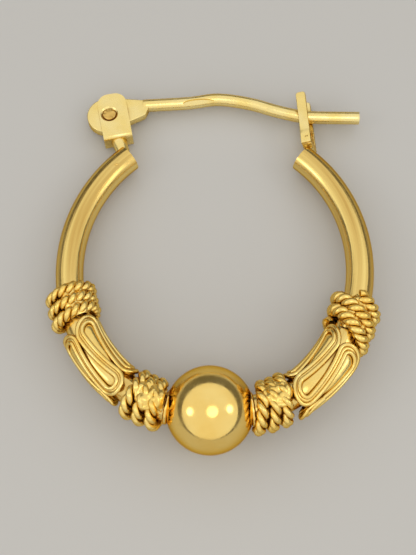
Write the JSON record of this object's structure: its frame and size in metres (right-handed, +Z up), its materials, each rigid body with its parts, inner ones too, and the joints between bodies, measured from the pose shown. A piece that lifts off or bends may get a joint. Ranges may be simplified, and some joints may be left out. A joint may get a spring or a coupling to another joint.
{
  "type": "hoop earring",
  "caption": "Yellow gold hoop earring: round tube with a polished bead, twisted rope wraps and wire meanders, and a hinged ear post that snaps into a forked catch.",
  "frame": {"origin": "middle of the footprint, on the surface that the earring lies on", "axes": "+Z up out of the surface, +Y from the bead to the ear post, +X from the hinge to the catch"},
  "size_m": [0.0188, 0.0224, 0.0048],
  "materials": {
    "tube_gold": "polished yellow gold with fine lengthwise polishing marks",
    "bead_gold": "mirror polished yellow gold, lightly scuffed",
    "rope_gold": "drawn gold wire with solder in the grooves",
    "wire_gold": "soft polished gold wire",
    "fitting_gold": "paler satin gold"
  },
  "bodies": {
    "hoop": {"hoop_tube": "tube_gold", "bead": "bead_gold", "rope_wrap_lower_left": "rope_gold", "rope_wrap_lower_right": "rope_gold", "rope_wrap_upper_left": "rope_gold", "rope_wrap_upper_right": "rope_gold", "meander_wire_left": "wire_gold", "meander_wire_right": "wire_gold", "rivet": "fitting_gold"},
    "post": {"ear_post": "fitting_gold"}
  },
  "joints": [
    {"name": "post_hinge", "type": "hinge", "parent": "hoop", "child": "post", "pos_m": [-0.00662, 0.00926, 0.00077], "axis": [-0.0176, 0.0847, 0.9962], "range_deg": [0, 70]}
  ]
}
